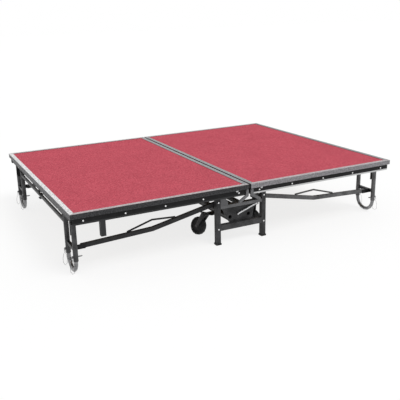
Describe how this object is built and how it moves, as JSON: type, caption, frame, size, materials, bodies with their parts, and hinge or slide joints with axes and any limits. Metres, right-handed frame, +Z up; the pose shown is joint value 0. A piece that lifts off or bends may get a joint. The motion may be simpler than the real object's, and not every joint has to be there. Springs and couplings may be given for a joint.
{
  "type": "folding mobile stage",
  "caption": "Folding mobile stage: a carpeted deck in two hinged halves with aluminium trim, on a steel centre frame with tilted casters, end legs with bent extensions, and folding links.",
  "frame": {"origin": "on the floor under the middle of the deck", "axes": "+X along the deck to the right end, +Y to the far long side, +Z up"},
  "size_m": [2.438, 1.829, 0.433],
  "materials": {
    "carpet_red": "low pile carpet",
    "plywood": "bare plywood",
    "aluminium": "mill finish, ribbed",
    "black_steel": "satin black powder coat",
    "grey_steel": "satin grey",
    "zinc": "bright zinc plate",
    "black_plastic": "matte",
    "tyre_rubber": "solid rubber"
  },
  "bodies": {
    "center": {"center_frame": "black_steel", "near_upper_crossbar": "grey_steel", "far_upper_crossbar": "grey_steel", "near_brace_rod": "zinc", "far_brace_rod": "zinc", "left_near_foot": "black_plastic", "left_far_foot": "black_plastic", "right_near_foot": "black_plastic", "right_far_foot": "black_plastic"},
    "left_deck": {"left_deck_frame": "black_steel", "left_deck_board": "plywood", "left_carpet": "carpet_red", "left_near_side_trim": "aluminium", "left_far_side_trim": "aluminium", "left_end_trim": "aluminium", "left_fold_trim": "aluminium", "left_near_fold_arm": "grey_steel", "left_far_fold_arm": "grey_steel", "left_near_pivot_bolt": "zinc", "left_far_pivot_bolt": "zinc"},
    "left_legs": {"left_leg_frame": "black_steel"},
    "left_links": {"left_near_link": "black_steel", "left_far_link": "black_steel"},
    "left_carriage": {"left_caster_carriage": "black_steel"},
    "left_near_extension": {"left_near_extension": "zinc"},
    "left_near_outer_pin": {"left_near_outer_pin": "zinc"},
    "left_near_inner_pin": {"left_near_inner_pin": "zinc"},
    "left_near_caster_swivel": {"left_near_caster_fork": "zinc"},
    "left_near_caster_wheel": {"left_near_caster_wheel": "tyre_rubber"},
    "left_far_extension": {"left_far_extension": "zinc"},
    "left_far_outer_pin": {"left_far_outer_pin": "zinc"},
    "left_far_inner_pin": {"left_far_inner_pin": "zinc"},
    "left_far_caster_swivel": {"left_far_caster_fork": "zinc"},
    "left_far_caster_wheel": {"left_far_caster_wheel": "tyre_rubber"},
    "right_deck": {"right_deck_frame": "black_steel", "right_deck_board": "plywood", "right_carpet": "carpet_red", "right_near_side_trim": "aluminium", "right_far_side_trim": "aluminium", "right_end_trim": "aluminium", "right_fold_trim": "aluminium", "right_near_fold_arm": "grey_steel", "right_far_fold_arm": "grey_steel", "right_near_pivot_bolt": "zinc", "right_far_pivot_bolt": "zinc"},
    "right_legs": {"right_leg_frame": "black_steel"},
    "right_links": {"right_near_link": "black_steel", "right_far_link": "black_steel"},
    "right_carriage": {"right_caster_carriage": "black_steel"},
    "right_near_extension": {"right_near_extension": "zinc"},
    "right_near_outer_pin": {"right_near_outer_pin": "zinc"},
    "right_near_inner_pin": {"right_near_inner_pin": "zinc"},
    "right_near_caster_swivel": {"right_near_caster_fork": "zinc"},
    "right_near_caster_wheel": {"right_near_caster_wheel": "tyre_rubber"},
    "right_far_extension": {"right_far_extension": "zinc"},
    "right_far_outer_pin": {"right_far_outer_pin": "zinc"},
    "right_far_inner_pin": {"right_far_inner_pin": "zinc"},
    "right_far_caster_swivel": {"right_far_caster_fork": "zinc"},
    "right_far_caster_wheel": {"right_far_caster_wheel": "tyre_rubber"}
  },
  "joints": [
    {"name": "left_fold", "type": "hinge", "parent": "center", "child": "left_deck", "pos_m": [-0.095, 0, 0.4], "axis": [0, 1, 0], "range_deg": [0, 90]},
    {"name": "left_legs_fold", "type": "hinge", "parent": "left_deck", "child": "left_legs", "pos_m": [-1.176, 0, 0.345], "axis": [0, -1, 0], "range_deg": [0, 58.4]},
    {"name": "left_links_turn", "type": "hinge", "parent": "center", "child": "left_links", "pos_m": [-0.118, 0, 0.298], "axis": [0, 1, 0], "range_deg": [0, 93.7]},
    {"name": "left_carriage_turn", "type": "hinge", "parent": "center", "child": "left_carriage", "pos_m": [-0.074, 0, 0.176], "axis": [0, -1, 0], "range_deg": [0, 19.1]},
    {"name": "left_near_extension_slide", "type": "slide", "parent": "left_legs", "child": "left_near_extension", "axis": [0, 0, -1], "range_m": [0, 0.2032]},
    {"name": "left_near_outer_pin_pull", "type": "slide", "parent": "left_legs", "child": "left_near_outer_pin", "axis": [-1, 0, 0], "range_m": [0, 0.075]},
    {"name": "left_near_inner_pin_pull", "type": "slide", "parent": "left_legs", "child": "left_near_inner_pin", "axis": [-1, 0, 0], "range_m": [0, 0.075]},
    {"name": "left_near_caster_turn", "type": "hinge", "parent": "left_carriage", "child": "left_near_caster_swivel", "pos_m": [-0.192, -0.64, 0.1807], "axis": [0.3256, 0, 0.9455], "continuous": true},
    {"name": "left_near_wheel_spin", "type": "hinge", "parent": "left_near_caster_swivel", "child": "left_near_caster_wheel", "pos_m": [-0.23453, -0.61218, 0.0917], "axis": [0.8767, 0.3746, -0.3019], "continuous": true},
    {"name": "left_far_extension_slide", "type": "slide", "parent": "left_legs", "child": "left_far_extension", "axis": [0, 0, -1], "range_m": [0, 0.2032]},
    {"name": "left_far_outer_pin_pull", "type": "slide", "parent": "left_legs", "child": "left_far_outer_pin", "axis": [-1, 0, 0], "range_m": [0, 0.075]},
    {"name": "left_far_inner_pin_pull", "type": "slide", "parent": "left_legs", "child": "left_far_inner_pin", "axis": [-1, 0, 0], "range_m": [0, 0.075]},
    {"name": "left_far_caster_turn", "type": "hinge", "parent": "left_carriage", "child": "left_far_caster_swivel", "pos_m": [-0.192, 0.64, 0.1807], "axis": [0.3256, 0, 0.9455], "continuous": true},
    {"name": "left_far_wheel_spin", "type": "hinge", "parent": "left_far_caster_swivel", "child": "left_far_caster_wheel", "pos_m": [-0.23453, 0.61218, 0.0917], "axis": [-0.8767, 0.3746, 0.3019], "continuous": true},
    {"name": "right_fold", "type": "hinge", "parent": "center", "child": "right_deck", "pos_m": [0.095, 0, 0.4], "axis": [0, -1, 0], "range_deg": [0, 90]},
    {"name": "right_legs_fold", "type": "hinge", "parent": "right_deck", "child": "right_legs", "pos_m": [1.176, 0, 0.345], "axis": [0, 1, 0], "range_deg": [0, 58.4]},
    {"name": "right_links_turn", "type": "hinge", "parent": "center", "child": "right_links", "pos_m": [0.118, 0, 0.298], "axis": [0, -1, 0], "range_deg": [0, 93.7]},
    {"name": "right_carriage_turn", "type": "hinge", "parent": "center", "child": "right_carriage", "pos_m": [0.074, 0, 0.176], "axis": [0, 1, 0], "range_deg": [0, 19.1]},
    {"name": "right_near_extension_slide", "type": "slide", "parent": "right_legs", "child": "right_near_extension", "axis": [0, 0, -1], "range_m": [0, 0.2032]},
    {"name": "right_near_outer_pin_pull", "type": "slide", "parent": "right_legs", "child": "right_near_outer_pin", "axis": [1, 0, 0], "range_m": [0, 0.075]},
    {"name": "right_near_inner_pin_pull", "type": "slide", "parent": "right_legs", "child": "right_near_inner_pin", "axis": [1, 0, 0], "range_m": [0, 0.075]},
    {"name": "right_near_caster_turn", "type": "hinge", "parent": "right_carriage", "child": "right_near_caster_swivel", "pos_m": [0.192, -0.64, 0.1807], "axis": [-0.3256, 0, 0.9455], "continuous": true},
    {"name": "right_near_wheel_spin", "type": "hinge", "parent": "right_near_caster_swivel", "child": "right_near_caster_wheel", "pos_m": [0.21328, -0.61218, 0.08438], "axis": [0.8767, 0.3746, 0.3019], "continuous": true},
    {"name": "right_far_extension_slide", "type": "slide", "parent": "right_legs", "child": "right_far_extension", "axis": [0, 0, -1], "range_m": [0, 0.2032]},
    {"name": "right_far_outer_pin_pull", "type": "slide", "parent": "right_legs", "child": "right_far_outer_pin", "axis": [1, 0, 0], "range_m": [0, 0.075]},
    {"name": "right_far_inner_pin_pull", "type": "slide", "parent": "right_legs", "child": "right_far_inner_pin", "axis": [1, 0, 0], "range_m": [0, 0.075]},
    {"name": "right_far_caster_turn", "type": "hinge", "parent": "right_carriage", "child": "right_far_caster_swivel", "pos_m": [0.192, 0.64, 0.1807], "axis": [-0.3256, 0, 0.9455], "continuous": true},
    {"name": "right_far_wheel_spin", "type": "hinge", "parent": "right_far_caster_swivel", "child": "right_far_caster_wheel", "pos_m": [0.21328, 0.61218, 0.08438], "axis": [-0.8767, 0.3746, -0.3019], "continuous": true}
  ],
  "couplings": [
    {"joint": "left_legs_fold", "follows": "left_fold", "ratio": 0.6477},
    {"joint": "left_links_turn", "follows": "left_fold", "ratio": 1.0402},
    {"joint": "left_carriage_turn", "follows": "left_fold", "ratio": 0.2111},
    {"joint": "right_fold", "follows": "left_fold", "ratio": 1},
    {"joint": "right_legs_fold", "follows": "left_fold", "ratio": 0.6477},
    {"joint": "right_links_turn", "follows": "left_fold", "ratio": 1.0402},
    {"joint": "right_carriage_turn", "follows": "left_fold", "ratio": 0.2111}
  ]
}
